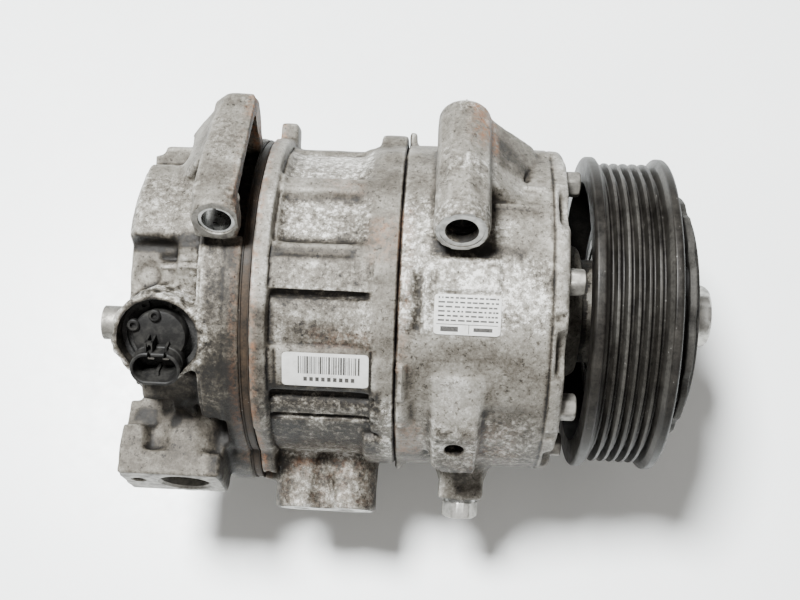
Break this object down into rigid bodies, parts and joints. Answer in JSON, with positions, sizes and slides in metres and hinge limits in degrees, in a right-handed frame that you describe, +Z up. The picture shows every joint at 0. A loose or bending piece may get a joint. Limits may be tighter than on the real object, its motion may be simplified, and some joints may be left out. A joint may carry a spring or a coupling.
{
  "type": "automotive ac compressor",
  "caption": "Belt-driven swash-plate air-conditioning compressor: cast housing with mounting lugs, two pipe ports, control-valve connector, ribbed pulley and drive hub.",
  "frame": {"origin": "on the ground under the middle of the part as it lies: the middle of its bounding box in X and Y, at its lowest point", "axes": "+X along the shaft towards the pulley, +Z up, +Y away from the side with the connector and ports"},
  "size_m": [0.2284, 0.1476, 0.1581],
  "materials": {
    "cast_aluminium": "rough sand-cast, oxidised",
    "piston_aluminium": "machined",
    "bearing_steel": "ground",
    "cast_iron": "machined",
    "gasket": "coated steel, dark",
    "rubber": "matt",
    "zinc_steel": "zinc plated",
    "washer_metal": "dull",
    "valve_metal": "turned, dull",
    "black_plastic": "moulded",
    "tin_plate": "tinned",
    "pulley_steel": "black coated, worn on the ribs",
    "hub_metal": "dark, rough",
    "label_film": "satin film"
  },
  "bodies": {
    "housing": {"barcode_label": "label_film", "bearing_inner_race": "bearing_steel", "bearing_snap_ring": "bearing_steel", "block_gasket": "gasket", "connector_pins": "tin_plate", "control_valve_body": "valve_metal", "cylinder_block": "cast_aluminium", "discharge_reed_plate": "bearing_steel", "front_housing": "cast_aluminium", "front_needle_bearing": "bearing_steel", "front_thrust_bearing": "bearing_steel", "head_gasket": "gasket", "name_label": "label_film", "oil_plug": "zinc_steel", "oil_plug_washer": "washer_metal", "rear_head": "cast_aluminium", "rear_lug_sleeve": "bearing_steel", "rear_needle_bearing": "bearing_steel", "rear_thrust_washer": "bearing_steel", "relief_valve": "valve_metal", "return_spring": "bearing_steel", "seal_snap_ring": "bearing_steel", "seam_seal_ring": "rubber", "shaft_seal": "rubber", "suction_reed_plate": "bearing_steel", "through_bolts": "zinc_steel", "valve_connector": "black_plastic", "valve_plate": "bearing_steel", "valve_seal_rings": "rubber", "valve_snap_ring": "bearing_steel"},
    "drive": {"pulley": "pulley_steel", "bearing_outer_race": "bearing_steel", "hub_plate": "hub_metal", "damper_ring": "rubber", "hub_nut": "zinc_steel", "drive_shaft": "bearing_steel", "lug_plate": "cast_iron"},
    "ball_set": {"bearing_balls": "bearing_steel"},
    "swash": {"swash_plate": "bearing_steel"},
    "plunger": {"valve_plunger": "bearing_steel"},
    "piston_body_1": {"piston_1": "piston_aluminium"},
    "shoe_body_1": {"shoe_pair_1": "bearing_steel"},
    "piston_body_2": {"piston_2": "piston_aluminium"},
    "shoe_body_2": {"shoe_pair_2": "bearing_steel"},
    "piston_body_3": {"piston_3": "piston_aluminium"},
    "shoe_body_3": {"shoe_pair_3": "bearing_steel"},
    "piston_body_4": {"piston_4": "piston_aluminium"},
    "shoe_body_4": {"shoe_pair_4": "bearing_steel"},
    "piston_body_5": {"piston_5": "piston_aluminium"},
    "shoe_body_5": {"shoe_pair_5": "bearing_steel"},
    "piston_body_6": {"piston_6": "piston_aluminium"},
    "shoe_body_6": {"shoe_pair_6": "bearing_steel"},
    "piston_body_7": {"piston_7": "piston_aluminium"},
    "shoe_body_7": {"shoe_pair_7": "bearing_steel"}
  },
  "joints": [
    {"name": "shaft_spin", "type": "hinge", "parent": "housing", "child": "drive", "pos_m": [-0.00375, 0.00656, 0.07433], "axis": [1, 0, 0], "continuous": true},
    {"name": "ball_set_spin", "type": "hinge", "parent": "housing", "child": "ball_set", "pos_m": [-0.00375, 0.00656, 0.07433], "axis": [1, 0, 0], "continuous": true},
    {"name": "swash_tilt", "type": "hinge", "parent": "housing", "child": "swash", "pos_m": [-0.00975, -0.01605, 0.11091], "axis": [0, -0.8507, -0.5257], "range_deg": [0, 18], "stiffness_Nm_per_rad": 2},
    {"name": "piston_1_stroke", "type": "slide", "parent": "housing", "child": "piston_body_1", "axis": [1, 0, 0], "range_m": [0, 0.00177]},
    {"name": "shoe_1_rock", "type": "hinge", "parent": "piston_body_1", "child": "shoe_body_1", "pos_m": [-0.00975, -0.01316, 0.10623], "axis": [0, -0.8507, -0.5257], "range_deg": [0, 18]},
    {"name": "piston_2_stroke", "type": "slide", "parent": "housing", "child": "piston_body_2", "axis": [1, 0, 0], "range_m": [0, 0.00633]},
    {"name": "shoe_2_rock", "type": "hinge", "parent": "piston_body_2", "child": "shoe_body_2", "pos_m": [-0.00975, -0.03068, 0.0788], "axis": [0, -0.8507, -0.5257], "range_deg": [0, 18]},
    {"name": "piston_3_stroke", "type": "slide", "parent": "housing", "child": "piston_body_3", "axis": [1, 0, 0], "range_m": [0, 0.01656]},
    {"name": "shoe_3_rock", "type": "hinge", "parent": "piston_body_3", "child": "shoe_body_3", "pos_m": [-0.00975, -0.02016, 0.04801], "axis": [0, -0.8507, -0.5257], "range_deg": [0, 18]},
    {"name": "piston_4_stroke", "type": "slide", "parent": "housing", "child": "piston_body_4", "axis": [1, 0, 0], "range_m": [0, 0.02476]},
    {"name": "shoe_4_rock", "type": "hinge", "parent": "piston_body_4", "child": "shoe_body_4", "pos_m": [-0.00975, 0.01048, 0.03703], "axis": [0, -0.8507, -0.5257], "range_deg": [0, 18]},
    {"name": "piston_5_stroke", "type": "slide", "parent": "housing", "child": "piston_body_5", "axis": [1, 0, 0], "range_m": [0, 0.02476]},
    {"name": "shoe_5_rock", "type": "hinge", "parent": "piston_body_5", "child": "shoe_body_5", "pos_m": [-0.00975, 0.03816, 0.05414], "axis": [0, -0.8507, -0.5257], "range_deg": [0, 18]},
    {"name": "piston_6_stroke", "type": "slide", "parent": "housing", "child": "piston_body_6", "axis": [1, 0, 0], "range_m": [0, 0.01656]},
    {"name": "shoe_6_rock", "type": "hinge", "parent": "piston_body_6", "child": "shoe_body_6", "pos_m": [-0.00975, 0.04204, 0.08645], "axis": [0, -0.8507, -0.5257], "range_deg": [0, 18]},
    {"name": "piston_7_stroke", "type": "slide", "parent": "housing", "child": "piston_body_7", "axis": [1, 0, 0], "range_m": [0, 0.00633]},
    {"name": "shoe_7_rock", "type": "hinge", "parent": "piston_body_7", "child": "shoe_body_7", "pos_m": [-0.00975, 0.01921, 0.10963], "axis": [0, -0.8507, -0.5257], "range_deg": [0, 18]},
    {"name": "valve_plunger_stroke", "type": "slide", "parent": "housing", "child": "plunger", "axis": [0, -0.5299, 0.848], "range_m": [0, 0.0012], "stiffness_N_per_m": 400}
  ],
  "couplings": [
    {"joint": "ball_set_spin", "follows": "shaft_spin", "ratio": 0.5667},
    {"joint": "piston_1_stroke", "follows": "swash_tilt", "m_per_rad": 0.0056463},
    {"joint": "shoe_1_rock", "follows": "swash_tilt", "ratio": 1},
    {"joint": "piston_2_stroke", "follows": "swash_tilt", "m_per_rad": 0.020141},
    {"joint": "shoe_2_rock", "follows": "swash_tilt", "ratio": 1},
    {"joint": "piston_3_stroke", "follows": "swash_tilt", "m_per_rad": 0.05271},
    {"joint": "shoe_3_rock", "follows": "swash_tilt", "ratio": 1},
    {"joint": "piston_4_stroke", "follows": "swash_tilt", "m_per_rad": 0.078829},
    {"joint": "shoe_4_rock", "follows": "swash_tilt", "ratio": 1},
    {"joint": "piston_5_stroke", "follows": "swash_tilt", "m_per_rad": 0.078829},
    {"joint": "shoe_5_rock", "follows": "swash_tilt", "ratio": 1},
    {"joint": "piston_6_stroke", "follows": "swash_tilt", "m_per_rad": 0.05271},
    {"joint": "shoe_6_rock", "follows": "swash_tilt", "ratio": 1},
    {"joint": "piston_7_stroke", "follows": "swash_tilt", "m_per_rad": 0.020141},
    {"joint": "shoe_7_rock", "follows": "swash_tilt", "ratio": 1}
  ]
}
